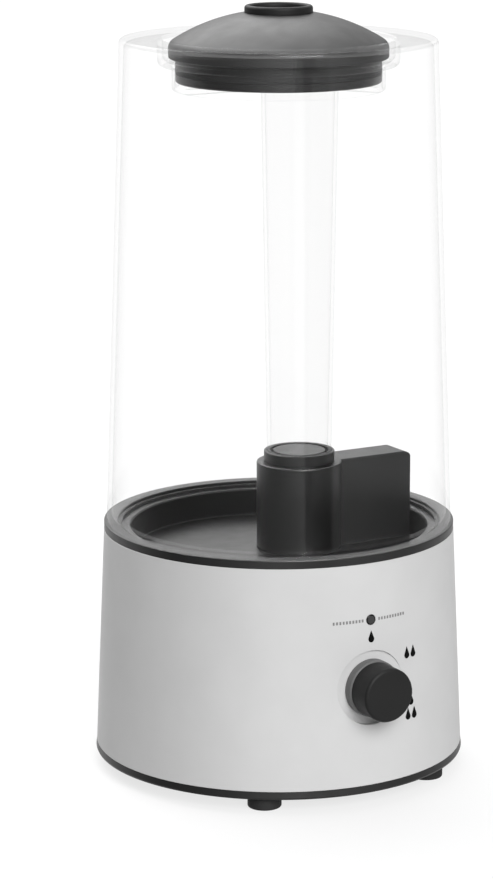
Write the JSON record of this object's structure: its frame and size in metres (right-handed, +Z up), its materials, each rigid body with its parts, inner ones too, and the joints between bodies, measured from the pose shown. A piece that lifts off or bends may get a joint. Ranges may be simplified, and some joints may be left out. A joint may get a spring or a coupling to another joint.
{
  "type": "cool mist humidifier",
  "caption": "Tabletop ultrasonic humidifier: silver base with water basin and knob, clear lift-off tank, mist tube, domed lid with round nozzle.",
  "frame": {"origin": "on the standing surface, at the centre of the bounding box's underside; the round body's axis is 5.8 mm behind it, at y = +0.0058, because the knob sticks out of the front", "axes": "+Z up along the body's axis, -Y towards the front (knob and lamp), +X to the right seen from the front"},
  "size_m": [0.156, 0.1676, 0.32],
  "materials": {
    "shell_silver": "satin light silver grey",
    "dark_plastic": "fine matte charcoal",
    "lid_plastic": "fine matte grey charcoal",
    "knob_plastic": "satin near-black",
    "collar_grey": "satin mid grey",
    "tank_clear": "clear moulded plastic",
    "tube_clear": "clear moulded plastic, slightly hazy",
    "silicone": "soft matte",
    "dark_rubber": "matte",
    "print_black": "printed ink",
    "print_grey": "printed ink",
    "lens_smoke": "smoked lens",
    "led_clear": "clear epoxy",
    "steel": "zinc-plated",
    "shaft_metal": "turned",
    "aluminium": "extruded, plain",
    "disc_metal": "plated ceramic disc",
    "magnet": "dull",
    "foam_white": "closed-cell, matte",
    "board_green": "lacquered board",
    "component_dark": "moulded",
    "pot_body": "pressed can"
  },
  "bodies": {
    "base": {"bottom_cover": "dark_plastic", "rubber_feet": "dark_rubber", "base_shell": "shell_silver", "basin_tray": "dark_plastic", "cover_screws": "steel", "mist_tower": "dark_plastic", "tower_gasket": "dark_rubber", "tower_screws": "steel", "tower_collar": "dark_plastic", "tube_seal": "dark_rubber", "splash_guard": "dark_plastic", "feed_nozzle": "dark_plastic", "reed_switch": "component_dark", "transducer": "disc_metal", "transducer_seal": "silicone", "transducer_clamp": "aluminium", "clamp_screws": "steel", "fan_frame": "component_dark", "fan_screws": "steel", "air_duct": "dark_plastic", "driver_board": "board_green", "board_screws": "steel", "board_parts": "component_dark", "heat_sink": "aluminium", "lamp_lens": "lens_smoke", "lamp_board": "board_green", "lamp_led": "led_clear", "dc_jack": "component_dark", "jack_pin": "steel", "jack_nut": "steel", "potentiometer": "pot_body", "pot_nut": "steel", "level_marks": "print_black", "lamp_marks": "print_grey", "tank_gasket": "dark_rubber"},
    "tank": {"tank_shell": "tank_clear", "tube_bridge": "tank_clear", "mist_tube": "tube_clear"},
    "lid": {"lid_cap": "lid_plastic", "lid_plug": "dark_plastic", "lid_seal": "dark_rubber", "nozzle_ring": "knob_plastic"},
    "knob": {"knob_cap": "knob_plastic", "knob_collar": "collar_grey", "pot_shaft": "shaft_metal"},
    "float": {"float_block": "foam_white", "float_magnet": "magnet", "valve_pad": "silicone"},
    "fan": {"fan_impeller": "component_dark", "fan_shaft": "steel"}
  },
  "joints": [
    {"name": "tank_lift", "type": "slide", "parent": "base", "child": "tank", "axis": [0, 0, 1], "range_m": [0, 0.12]},
    {"name": "lid_lift", "type": "slide", "parent": "tank", "child": "lid", "axis": [0, 0, 1], "range_m": [0, 0.06]},
    {"name": "knob_turn", "type": "hinge", "parent": "base", "child": "knob", "pos_m": [0, -0.0742, 0.0497], "axis": [0, 1, 0], "range_deg": [0, 180]},
    {"name": "float_rise", "type": "slide", "parent": "base", "child": "float", "axis": [0, 0, 1], "range_m": [0, 0.008]},
    {"name": "fan_spin", "type": "hinge", "parent": "base", "child": "fan", "pos_m": [0.04, 0.0058, 0.013], "axis": [0, 0, 1], "continuous": true}
  ]
}
